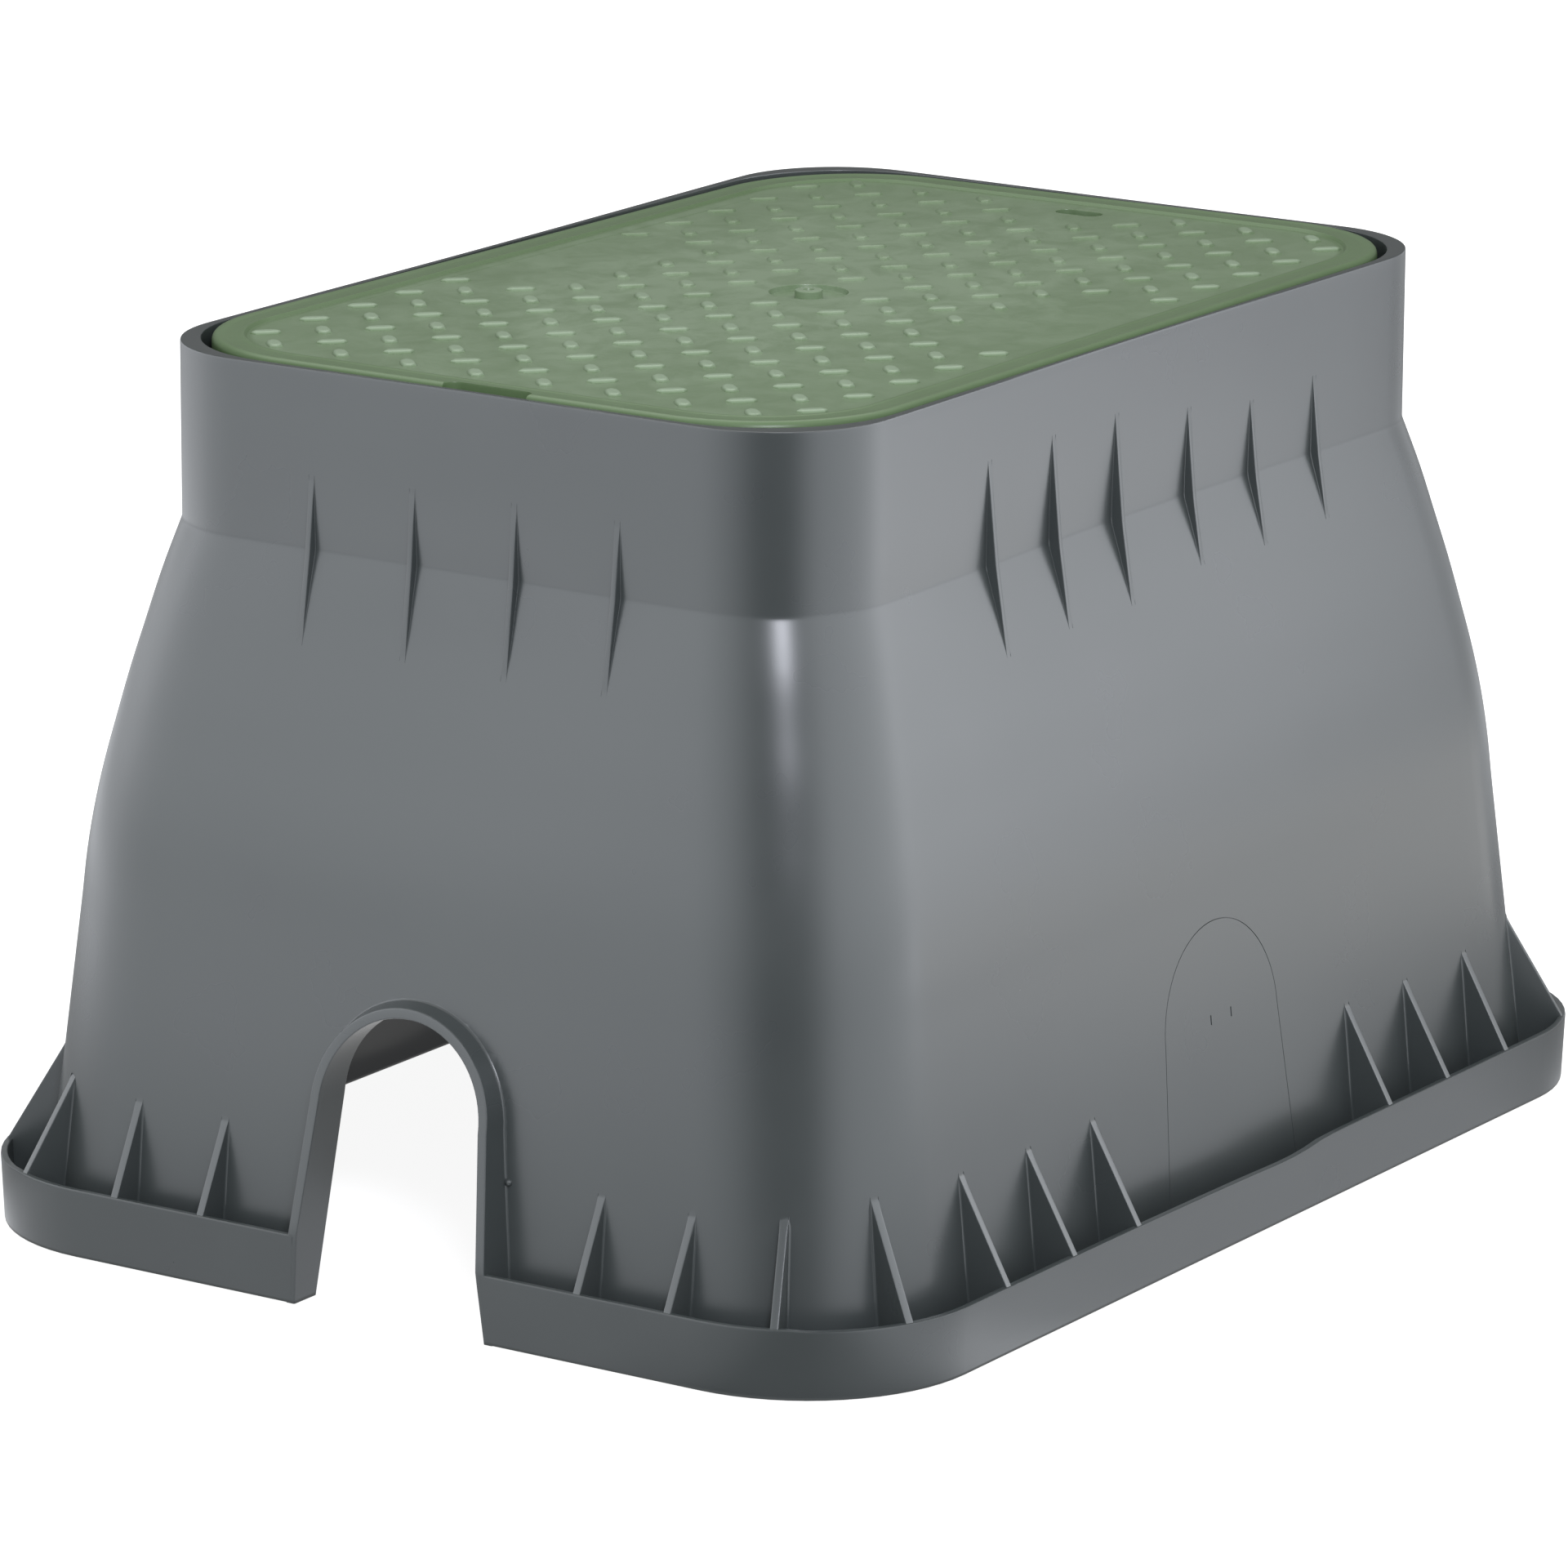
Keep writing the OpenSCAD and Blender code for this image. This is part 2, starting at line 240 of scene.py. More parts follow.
def bandRing(out, z):
    w = walls
    ring = ringAt(w["footLength"] / 2 + out, w["footWidth"] / 2 + out, w["footRadius"] + out, z)
    share = max(0, z / w["bandHeight"] - 0.5) * 2
    reach = w["footWidth"] / 2 - w["footRadius"] / 2
    return [(x, y, h - share * curveThrough(w["bandSink"], x) if abs(y) > reach and z > 0 else h) for x, y, h in ring]


def makeShell():
    w = walls
    lean, top, thick, rim = w["bandLean"], w["bandHeight"], w["bandThickness"], w["height"]
    floor, wall, seat = w["floorThickness"], w["wallThickness"], w["seatHeight"]
    rings = [bandRing(out, z) for out, z in (
        (-0.5, 0), (-0.15, 0.12), (0.02, 0.5), (0.25 * lean, top * 0.25), (0.5 * lean, top * 0.5),
        (0.75 * lean, top * 0.75), (lean - 0.02, top - 0.7), (lean - 0.14, top - 0.2), (lean - 0.45, top),
        (lean - thick + 0.75, top), (lean - thick + 0.45, top - 0.2), (lean - thick + 0.3, top - 0.7),
        (lean - thick - 0.2, top * 0.6), (-thick - 0.35, floor + 1.2), (-thick - 0.8, floor + 0.3),
        (-thick - 1.6, floor))]
    rings += [wallRing(floor, -1.6), wallRing(floor + 0.3, -0.7), wallRing(floor + 1.1, -0.1)]
    heights = [6, 9, 12, 15.5] + [19.5 + 4 * i for i in range(21)] + [104 + 4.5 * i for i in range(29)]
    heights += [233, 236, 237.5, 238.5, 239.2, 239.7, 240, 240.3, 240.8, 241.5, 243, 246, 252, 259, 267, 275, 283,
                290, 296]
    rings += [wallRing(z) for z in heights if z < rim - 1]
    rings += [wallRing(rim - 0.7), wallRing(rim - 0.2, 0.15), wallRing(rim, 0.6, 0.7)]
    pocket = w["pocketRadius"]
    rings += [wallRing(rim, wall - 0.5, 0.25, pocket + 0.5), wallRing(rim - 0.15, wall - 0.12, 0.1, pocket + 0.1),
              wallRing(rim - 0.5, wall, 0, pocket), wallRing(seat + 0.6, wall, 0, pocket),
              wallRing(seat, wall + 0.6, 0, pocket - 0.6)]
    inner = wall + w["ledgeWidth"]
    under = seat - w["ledgeThickness"]
    rings += [wallRing(seat, inner - 0.5, 0, w["cornerRadius"] - wall - 1.5),
              wallRing(seat - 0.5, inner, 0, w["cornerRadius"] - wall - 2),
              wallRing(under + 0.5, inner, 0, w["cornerRadius"] - wall - 2),
              wallRing(under, inner - 0.5, 0, w["cornerRadius"] - wall - 1.5), wallRing(under, wall + 1)]
    rings += [wallRing(z, wall) for z in [under - 1.5, 272, 260, 248, 242, 240.6, 240, 239.4, 237]]
    rings += [wallRing(230 - 7 * i, wall) for i in range(32)] + [wallRing(6, wall), wallRing(0.4, wall), wallRing(0, wall - 0.4)]
    n = len(rings[0])
    m = len(rings)
    faces = [[j * n + i, j * n + (i + 1) % n, (j + 1) % m * n + (i + 1) % n, (j + 1) % m * n + i]
             for j in range(m) for i in range(n)]
    return faceOutward(makeObject("boxShell", [p for ring in rings for p in ring], faces))


# ---- arched pipe openings ----

arch = dict(
    radius=31.7, centreHeight=67.4, legSplay=6.1, sleeve=3.5, draft=1.2, proudAtTop=5.0,
    shift=1.8, skew=1.4,               # how far off the middle the head stands, and the feet beyond it
    inward=3.4, inwardHeight=70,       # how far the sleeve passes the wall inside, and from what height
    hidden=1.6,        # where the wall ends inside the sleeve
    edgeRadius=0.5, fillet=0.8, turnSteps=36, legSteps=14,
)


# a point on the arch's outline, out from the opening's edge, s running over legs and head
def archPath(grown):
    a = arch
    points = []
    r = a["radius"] + grown
    foot = r + a["legSplay"]
    for i in range(a["legSteps"]):
        t = i / a["legSteps"]
        points.append((foot + (r - foot) * t, a["centreHeight"] * t))
    for i in range(a["turnSteps"] + 1):
        turn = math.pi * i / a["turnSteps"]
        points.append((r * math.cos(turn), a["centreHeight"] + r * math.sin(turn)))
    points += [(-y, z) for y, z in points[:a["legSteps"]][::-1]]
    return points


def archShift(z):
    return arch["shift"] + arch["skew"] * max(0, 1 - z / arch["centreHeight"])


def sleeveFront(z):
    w, a = walls, arch
    band = w["footLength"] / 2 + w["bandLean"] * min(z, w["bandHeight"]) / w["bandHeight"]
    topHeight = a["centreHeight"] + a["radius"] + a["sleeve"]
    topFront = w["neckLength"] / 2 + flareAt(topHeight) + a["proudAtTop"]
    if z <= w["bandHeight"]:
        return band - 0.02
    t = (z - w["bandHeight"]) / (topHeight - w["bandHeight"])
    return band - 0.02 + (topFront - band) * t


def endWallAt(y, z, inset=0.0):
    w = walls
    d = flareAt(z)
    reach = w["neckWidth"] / 2 - w["cornerRadius"] + d * (1 - w["cornerGrow"])
    return w["neckLength"] / 2 + d - inset - bowAt(w["bowShort"], y / reach, z)


def makeSleeve(side):
    a = arch
    e, f, t = a["edgeRadius"], a["fillet"], a["sleeve"]
    base = t + a["draft"]
    # out from the opening, what it is measured from, how far outward
    section = [(0, "inner", 0.5), (0.15, "inner", 0.15), (0.5, "inner", -0.05), (2.2, "inner", -0.05), (2.6, "inner", 0.15),
               (2.8, "inner", 0.5), (3, "wall", -1.9), (base + f, "wall", -1.6), (base + f, "wall", -0.12),
               (base + f * 0.55, "wall", f * 0.13), (base + f * 0.2, "wall", f * 0.42), (base - 0.1, "wall", f),
               (t + 0.05, "front", -e), (t - e * 0.3, "front", -e * 0.3), (t - e, "front", 0),
               (e, "front", 0), (e * 0.3, "front", -e * 0.3), (0, "front", -e)]
    rings = []
    count = len(archPath(0))
    paths = {n: archPath(n) for n, kind, off in section}
    for k in range(count):
        ring = []
        for n, kind, off in section:
            y, z = paths[n][k]
            if kind == "front":
                x = sleeveFront(z) + off
            elif kind == "wall":
                x = endWallAt(y, z) + off
            else:
                x = endWallAt(y, z, walls["wallThickness"]) + off - a["inward"] * min(1, z / a["inwardHeight"])
            x = min(x, sleeveFront(z))
            ring.append((side * x, side * (y + archShift(z)), z))
        rings.append(ring)
    return loftSolid("sleeve", rings)


def makeArchCut():
    outline = archPath(arch["hidden"])
    outline = [(outline[0][0] + 0.4, -5)] + outline + [(outline[-1][0] - 0.4, -5)]
    cuts = []
    for side in (-1, 1):
        rings = [[(side * x, side * (y + archShift(z)), z) for y, z in outline] for x in (190, 270)]
        cuts.append(loftSolid("archCut", rings))
    return cuts


# ---- the scored outline of a pipe opening on each long side ----

score = dict(width=0.6, depth=0.35, grown=4.6, shift=1.6, startHeight=2.0, markGap=6.5, markHeight=71, markLength=3.4)


def longWallAt(x, z, inset=0.0):
    w = walls
    d = flareAt(z)
    reach = w["neckLength"] / 2 - w["cornerRadius"] + d * (1 - w["cornerGrow"])
    return w["neckWidth"] / 2 + d - inset - bowAt(w["bowLong"], x / reach, z)


def makeScores():
    s = score
    made = []
    outer, inner = archPath(s["grown"] + s["width"] / 2), archPath(s["grown"] - s["width"] / 2)
    for side in (-1, 1):
        rings = []
        for (x1, z1), (x2, z2) in zip(outer, inner):
            if z1 < s["startHeight"]:
                continue
            x1, x2 = x1 + s["shift"], x2 + s["shift"]
            xm, zm = (x1 + x2) / 2, (z1 + z2) / 2
            rings.append([(x1, side * (longWallAt(x1, z1) + 1), z1), (x2, side * (longWallAt(x2, z2) + 1), z2),
                          (xm + (x2 - xm) * 0.3, side * (longWallAt(xm, zm) - s["depth"]), zm + (z2 - zm) * 0.3),
                          (xm + (x1 - xm) * 0.3, side * (longWallAt(xm, zm) - s["depth"]), zm + (z1 - zm) * 0.3)])
        made.append(loftSolid("score", rings))
        for x in (s["shift"] - s["markGap"], s["shift"] + s["markGap"]):
            low, high = s["markHeight"] - s["markLength"] / 2, s["markHeight"] + s["markLength"] / 2
            rings = [[(x - 0.5, side * (longWallAt(x, z) + 1), z), (x + 0.5, side * (longWallAt(x, z) + 1), z),
                      (x + 0.25, side * (longWallAt(x, z) - 0.4), z), (x - 0.25, side * (longWallAt(x, z) - 0.4), z)]
                     for z in (low, high)]
            made.append(loftSolid("mark", rings))
    return made


# ---- ribs and gussets ----

ribs = dict(
    neckThickness=2.2, neckSteps=24, neckFillet=0.2,
    neckReach=0.82,     # share of the straight line from foot to top that a rib's edge stands out
    # along the side, top, foot
    shortRibs=[(-60.3, 265.2, 210), (-20.1, 265.8, 209), (20.1, 265.4, 209.7), (60.3, 264.7, 210.5)],
    longRibs=[(-96.4, 275, 211.7), (-56.2, 276, 213), (-16, 276, 213), (30.4, 270, 217.6), (70.6, 265.5, 217),
              (110.8, 267, 218.7)],
    gussetThickness=3.0, gussetSteps=20, gussetInset=0.35, fillet=0.8, edgeRadius=0.5,
    # along the side or round the corner, height of the head
    endGussets=[(-72.9, 53), (-108.3, 53.4), (77.5, 52.8), (112.5, 52.4)],
    sideGussets=[(-163.5, 57.4), (-123, 55.8), (-83.2, 55.8), (82.9, 56.2), (122.8, 55.4), (164, 56.2)],
    cornerGussets=[(24, 54.4), (66, 58.6)],
)


# one level of a web that stands on a wall: its root, its tip, its thickness
def webSection(root, tip, thick, fillet):
    f = min(fillet, max(0.05, (tip - root) * 0.5))
    e = min(ribs["edgeRadius"], max(0.02, (tip - root) * 0.3))
    h = thick / 2
    half = [(root - 1.2, h + f), (root - 0.06, h + f), (root + f * 0.13, h + f * 0.5), (root + f * 0.42, h + f * 0.18),
            (root + f, h), (tip - e, h - 0.05), (tip - e * 0.3, h - 0.05 - e * 0.3), (tip, h - 0.05 - e)]
    return half + [(out, -across) for out, across in half[::-1]]


# carries web sections up a wall; place() turns (out, across, z) into a point
def makeWeb(levels, thick, fillet, place):
    rings = []
    for z, root, tip in levels:
        rings.append([place(out, across, z) for out, across in webSection(root, tip, thick, fillet)])
    return loftSolid("web", rings)


def makeNeckRibs():
    r = ribs
    made = []
    for wallAt, places, onShort in ((endWallAt, r["shortRibs"], True), (longWallAt, r["longRibs"], False)):
        for side in (-1, 1):
            for along, top, foot in places:
                head, base = wallAt(along, top), wallAt(along, foot)
                levels = []
                for i in range(r["neckSteps"] + 1):
                    z = foot - 0.6 + (top - foot + 1) * i / r["neckSteps"]
                    root = wallAt(along, z)
                    chord = base + (head - base) * (z - foot) / (top - foot)
                    levels.append((z, root, max(root + (chord - root) * r["neckReach"], root - 0.4)))
                if onShort:
                    made.append(makeWeb(levels, r["neckThickness"], r["neckFillet"], lambda o, c, z: (side * o, along + c, z)))
                else:
                    made.append(makeWeb(levels, r["neckThickness"], r["neckFillet"], lambda o, c, z: (along + c, side * o, z)))
    return made


def gussetLevels(wallAt, foot, top):
    w = walls
    head = wallAt(top)
    levels = []
    for z in (1.0, 3.0, 8.0, 14.0, 19.0, w["bandHeight"] - 1.6):
        levels.append((z, wallAt(z), foot - w["bandThickness"] / 2))
    for i in range(ribs["gussetSteps"] + 1):
        t = i / ribs["gussetSteps"] * 1.02
        z = w["bandHeight"] - 1 + (top - w["bandHeight"] + 1) * t
        levels.append((z, wallAt(z), foot + (head - foot) * t))
    return levels


def makeGussets():
    w, r = walls, ribs
    made = []
    out = w["bandLean"] - r["gussetInset"]
    thick, fillet = r["gussetThickness"], r["fillet"]
    for side in (-1, 1):
        for place, top in r["endGussets"]:
            along = side * place
            levels = gussetLevels(lambda z: endWallAt(along, z), w["footLength"] / 2 + out, top)
            made.append(makeWeb(levels, thick, fillet, lambda o, c, z: (side * o, along + c, z)))
        for along, top in r["sideGussets"]:
            levels = gussetLevels(lambda z: longWallAt(along, z), w["footWidth"] / 2 + out, top)
            made.append(makeWeb(levels, thick, fillet, lambda o, c, z: (along + c, side * o, z)))
    centreX, centreY = w["footLength"] / 2 - w["footRadius"], w["footWidth"] / 2 - w["footRadius"]
    for sx in (-1, 1):
        for sy in (-1, 1):
            for turn, top in r["cornerGussets"]:
                ca, sa = math.cos(math.radians(turn)), math.sin(math.radians(turn))

                def cornerWall(z):
                    d = flareAt(z)
                    radius = w["cornerRadius"] + w["cornerGrow"] * d
                    dx = centreX - (w["neckLength"] / 2 + d - radius)
                    dy = centreY - (w["neckWidth"] / 2 + d - radius)
                    across = dx * ca + dy * sa
                    return math.sqrt(across * across - dx * dx - dy * dy + radius * radius) - across

                levels = gussetLevels(cornerWall, w["footRadius"] + out, top)
                made.append(makeWeb(levels, thick, fillet, lambda o, c, z: (
                    sx * (centreX + o * ca - c * sa), sy * (centreY + o * sa + c * ca), z)))
    return made


# the small nib that the mould's pin left beside an end sleeve
def makeNib():
    a = arch
    z = 51
    y = a["radius"] + a["sleeve"] + a["draft"] + a["legSplay"] * (1 - z / a["centreHeight"]) + archShift(z) + 1.2
    x = endWallAt(y, z)
    rings = [[(-x - rise, -y + r * math.cos(math.pi * i / 7), z + r * math.sin(math.pi * i / 7)) for i in range(14)]
             for rise, r in ((-1, 1.3), (0.3, 1.3), (0.8, 1.1), (1.15, 0.75), (1.3, 0.3))]
    return loftSolid("nib", rings)


box = makeShell()
print("walls lofted:", len(box.data.polygons), "faces")
combine(box, makeArchCut() + makeScores(), "DIFFERENCE")
print("openings cut")
combine(box, [makeSleeve(-1), makeSleeve(1)] + makeNeckRibs() + makeGussets() + [makeNib()], "UNION")
box.name = "valveBoxBody"
print("sleeves, ribs and gussets joined:", len(box.data.polygons), "faces")

# ---- the lid ----

lidSetup = dict(
    length=396, width=261, radius=54, seat=289, top=301, border=11, fieldDrop=1.2, plate=4, skirtThickness=3,
    cornerSteps=20, lugPitch=27, lugLength=9.8, lugWidth=4.6, lugHeight=1.05,
    bareLength=88, bareWidth=58, slotIn=24, slotLength=18, slotWidth=8, notchLength=33, notchDepth=6, notchShift=-5.5,
    recessDiameter=27, recessDepth=2.2, bossDiameter=9.6, ribThickness=2.2,
    # along the lid, how far its far long edge has sagged
    sag=[(-200, 0), (-95, 0), (-17, 0.7), (40, 1.6), (85, 2.1), (155, 1.8), (200, 1.3)],
)


def lidRing(out, z):
    s = lidSetup
    a, b, r = s["length"] / 2 + out, s["width"] / 2 + out, s["radius"] + out
    points = []
    for quarter, (cx, cy) in enumerate(((1, 1), (-1, 1), (-1, -1), (1, -1))):
        for i in range(s["cornerSteps"] + 1):
            turn = math.radians(90 * (quarter + i / s["cornerSteps"]))
            points.append((cx * (a - r) + r * math.cos(turn), cy * (b - r) + r * math.sin(turn), z))
    return points


def makeLidPlate():
    s = lidSetup
    top, seat = s["top"], s["seat"]
    field = top - s["fieldDrop"]
    low = field - s["plate"]
    inner = -s["skirtThickness"]
    rings = [lidRing(out, z) for out, z in (
        (inner - 2.0, low), (inner - 0.6, low - 0.4), (inner, low - 1.6), (inner + 0.4, seat + 0.5),
        (inner + 0.8, seat), (-0.6, seat), (-0.15, seat + 0.15), (0, seat + 0.6), (0, top - 2.4), (-0.1, top - 1.7),
        (-0.35, top - 1.05), (-0.75, top - 0.55), (-1.3, top - 0.2), (-1.9, top - 0.03), (-2.5, top), (-3.1, top - 0.07),
        (-3.8, top - 0.22), (-4.6, top - 0.32), (-5.4, top - 0.35),
        (2.4 - s["border"], top - 0.35), (1.6 - s["border"], top - 0.2), (1.0 - s["border"], top - 0.05),
        (0.3 - s["border"], top - 0.1), (-s["border"], top - 0.35), (-s["border"] - 0.7, field + 0.12),
        (-s["border"] - 1.4, field))]
    return loftSolid("lidPlate", rings)


# a low pillow with pointed ends: its slopes turn slowly, so each catches the lamp as one dash
def makeLug(x, y, turn):
    s = lidSetup
    top = s["top"] - s["fieldDrop"]
    rings = []
    outline = ((0.5, 0), (0.36, 0.42), (0, 0.5), (-0.36, 0.42), (-0.5, 0), (-0.36, -0.42), (0, -0.5), (0.36, -0.42))
    for rise, grow in ((-0.5, 1.1), (0, 0.95), (0.3, 0.5), (0.58, 0), (0.78, -0.6), (0.9, -1.3), (0.97, -2.1), (1, -3.0)):
        z = top + s["lugHeight"] * rise
        ring = []
        for along, across in outline:
            l = along * (s["lugLength"] + grow)
            w = across * (s["lugWidth"] + grow)
            ring.append((x + l * math.cos(turn) - w * math.sin(turn), y + l * math.sin(turn) + w * math.cos(turn), z))
        rings.append(ring)
    return loftSolid("lug", rings)


def lugPlaces():
    s = lidSetup
    half = s["lugPitch"] / 2
    slotX = s["length"] / 2 - s["slotIn"]
    places = []
    for i in range(-14, 15):
        for j in range(-10, 11):
            x, y = i * half, j * half
            if (i + j) % 2:
                continue
            if abs(x) > s["length"] / 2 - s["border"] - s["lugLength"] / 2 - 2:
                continue
            if abs(y) > s["width"] / 2 - s["border"] - s["lugLength"] / 2 + 1:
                continue
            dx, dy = abs(x) - s["length"] / 2 + s["radius"], abs(y) - s["width"] / 2 + s["radius"]
            if dx > 0 and dy > 0 and math.hypot(dx, dy) > s["radius"] - s["border"] - s["lugLength"] / 2 - 1:
                continue
            if abs(x) < s["bareLength"] / 2 and abs(y) > s["width"] / 2 - s["bareWidth"]:
                continue
            if math.hypot(x, y) < s["recessDiameter"] / 2 + s["lugLength"] / 2 + 2:
                continue
            if x > slotX - 14 and abs(y) < 18:
                continue
            places.append((x, y, math.radians(-45 if i % 2 == 0 else 45)))
    return places


def makeDisc(name, x, y, levels, steps=40):
    rings = [[(x + r * math.cos(2 * math.pi * i / steps), y + r * math.sin(2 * math.pi * i / steps), z)
              for i in range(steps)] for z, r in levels]
    return loftSolid(name, rings)


def makeSlot(name, x, y, length, width, grown, levels, steps=10):
    rings = []
    for z, more in levels:
        r = width / 2 + grown + more
        reach = (length - width) / 2
        ring = []
        for sign in (1, -1):
            for i in range(steps + 1):
                turn = math.pi * i / steps
                ring.append((x + sign * r * math.cos(turn), y + sign * (reach + r * math.sin(turn)), z))
        rings.append(ring)
    return loftSolid(name, rings)


def makeBar(name, x1, x2, y1, y2, z1, z2):
    return loftSolid(name, [[(x1, y1, z), (x2, y1, z), (x2, y2, z), (x1, y2, z)] for z in (z1, z2)])


def makeLid():
    s = lidSetup
    top, seat = s["top"], s["seat"]
    field = top - s["fieldDrop"]
    low = field - s["plate"]
    slotX = s["length"] / 2 - s["slotIn"]
    lid = makeLidPlate()
    t = s["ribThickness"] / 2
    adds = [makeLug(x, y, turn) for x, y, turn in lugPlaces()]
    print("lugs:", len(adds))
    for k in (-1.5, -0.5, 0.5, 1.5):
        x = k * s["length"] / 4.4
        adds.append(makeBar("rib", x - t, x + t, -s["width"] / 2 + 2, s["width"] / 2 - 2, seat + 1, low + 1))
    for k in (-1, 1):
        y = k * s["width"] / 5
        adds.append(makeBar("rib", -s["length"] / 2 + 2, s["length"] / 2 - 2, y - t, y + t, seat + 1.02, low + 1))
    adds.append(makeDisc("pad", 0, 0, ((low - 3, s["recessDiameter"] / 2 + 3.5), (low + 1, s["recessDiameter"] / 2 + 3.5))))
    adds.append(makeSlot("collar", slotX, 0, s["slotLength"], s["slotWidth"], 2.4, ((seat + 1.04, 0), (low + 1, 0))))
    combine(lid, adds, "UNION")
    r = s["recessDiameter"] / 2
    deep = field - s["recessDepth"]
    e = s["edge"] if "edge" in s else 0.5
    cuts = [makeDisc("recess", 0, 0, ((deep, r - 0.9), (deep + 0.25, r - 0.35), (deep + 0.8, r - 0.1), (field - 0.5, r),
                                      (field - 0.12, r + 0.15), (field + 0.02, r + 0.55), (field + 3, r + 0.6))),
            makeSlot("slot", slotX, 0, s["slotLength"], s["slotWidth"], 0,
                     ((seat - 3, 0), (field - e, 0), (field - 0.12, 0.14), (field + 0.02, 0.5), (field + 3, 0.6)))]
    # the finger notch, its ends rounded
    outline = []
    half, depth, q = s["notchLength"] / 2, s["notchDepth"], 4.0
    for i in range(9):
        turn = math.pi / 2 * i / 8
        outline.append((depth - q + q * math.cos(turn), half - q + q * math.sin(turn)))
    outline = outline + [(-6, half), (-6, -half)] + [(x, -y) for x, y in outline[::-1]]
    cuts.append(loftSolid("notch", [[(-s["length"] / 2 + x + (g if x > 0 else 0), s["notchShift"] + y * (1 + g / 20), z) for x, y in outline]
                                    for z, g in ((seat - 3, 0), (top - 0.9, 0), (top - 0.3, 0.15), (top + 0.1, 0.6), (top + 3, 0.7))]))
    combine(lid, cuts, "DIFFERENCE")
    b = s["bossDiameter"] / 2
    boss = makeDisc("boss", 0, 0, ((deep - 0.8, b + 0.3), (deep, b + 0.2), (deep + 0.3, b), (field + 0.5, b - 0.1),
                                   (field + 0.8, b - 0.3), (field + 0.9, b - 0.8)), 28)
    combine(lid, [boss], "UNION")
    combine(lid, [makeDisc("dimple", 0, 0, ((field - 0.6, 0.9), (field - 0.4, 1.5), (field + 0.7, 1.9), (field + 2, 2.4)), 20)], "DIFFERENCE")
    for point in lid.data.vertices:
        x, y, z = [c / mm for c in point.co]
        drop = curveThrough(s["sag"], x) * max(0, min(1, y / s["width"] + 0.5)) * max(0, z - seat) / (top - seat)
        point.co.z -= drop * mm
    return lid


lid = makeLid()
lid.name = "valveBoxLid"
print("lid made:", len(lid.data.polygons), "faces")


# ---- materials ----

# Moulded polyethylene, dark grey: a soft gloss that mirrors the lamps as broad blurred bands,
# with a very fine grain and faint upright draw marks from the mould.
polyethylene = dict(
    dark="#3c4142", light="#434848", cloud=60, grain=0.5, drawMark=0.5, roughness=0.285, grainDepth=0.012,
)


def mouldedPolyethylene(p):
    material = bpy.data.materials.new("mouldedPolyethyleneGrey")
    material.use_nodes = True
    tree = material.node_tree
    shader = tree.nodes["Principled BSDF"]
    place = addNode(tree, "ShaderNodeTexCoord").outputs["Object"]
    cloud = addNode(tree, "ShaderNodeTexNoise", {"Vector": place, "Scale": 1000 / p["cloud"], "Detail": 4, "Roughness": 0.55})
    ramp = addNode(tree, "ShaderNodeMix", {"Factor": cloud.outputs["Fac"]}, data_type="RGBA")
    ramp.inputs[6].default_value = toLinear(p["dark"]) + [1]
    ramp.inputs[7].default_value = toLinear(p["light"]) + [1]
    tree.links.new(ramp.outputs[2], shader.inputs["Base Color"])
    grain = addNode(tree, "ShaderNodeTexNoise", {"Vector": place, "Scale": 1000 / p["grain"], "Detail": 2})
    stretched = addNode(tree, "ShaderNodeMapping", {"Vector": place, "Scale": (1, 1, 0.03)})
    marks = addNode(tree, "ShaderNodeTexNoise", {"Vector": stretched.outputs["Vector"], "Scale": 1000 / p["drawMark"], "Detail": 3})
    rough = addNode(tree, "ShaderNodeMapRange", {"Value": cloud.outputs["Fac"], "To Min": p["roughness"] - 0.06,
                                                 "To Max": p["roughness"] + 0.07})
    tree.links.new(rough.outputs["Result"], shader.inputs["Roughness"])
    both = addNode(tree, "ShaderNodeMath", {0: grain.outputs["Fac"], 1: marks.outputs["Fac"]}, operation="ADD")
    bump = addNode(tree, "ShaderNodeBump", {"Height": both.outputs["Value"], "Strength": 0.35,
                                            "Distance": p["grainDepth"] * mm})
    tree.links.new(bump.outputs["Normal"], shader.inputs["Normal"])
    shader.inputs["IOR"].default_value = 1.51
    return material


# Moulded polypropylene, muted green: a thin waxy gloss that turns pale at a low angle,
# over a colour that is nearly even, with a pale sheen and the lugs' highlights painted into that colour.
polypropylene = dict(
    dark="#5a724c", light="#627a56", cloud=38, grain=0.6, roughness=0.34, grainDepth=0.02,
    # painted sheen: a pale colour mixed into the field in place of the light it would mirror
    paintedSheen="#7e9275", paintedSheenAt=(0.005, 0.01, 0), paintedSheenSize=(0.17, 0.1), fieldPaintedSheen=0.5, middlePaintedSheen=0.5,
    paintedSheenPatch=16, paintedSheenPatchReach=(0.55, 1.2),          # mm, and the painted sheen's share where its patches leave least and most
    paintedLugHighlight="#8b9f84", paintedLugHighlightDepth=(0.1, 0.8),    # painted highlight on the lugs' tops: mm above the field, where it starts and is full
)


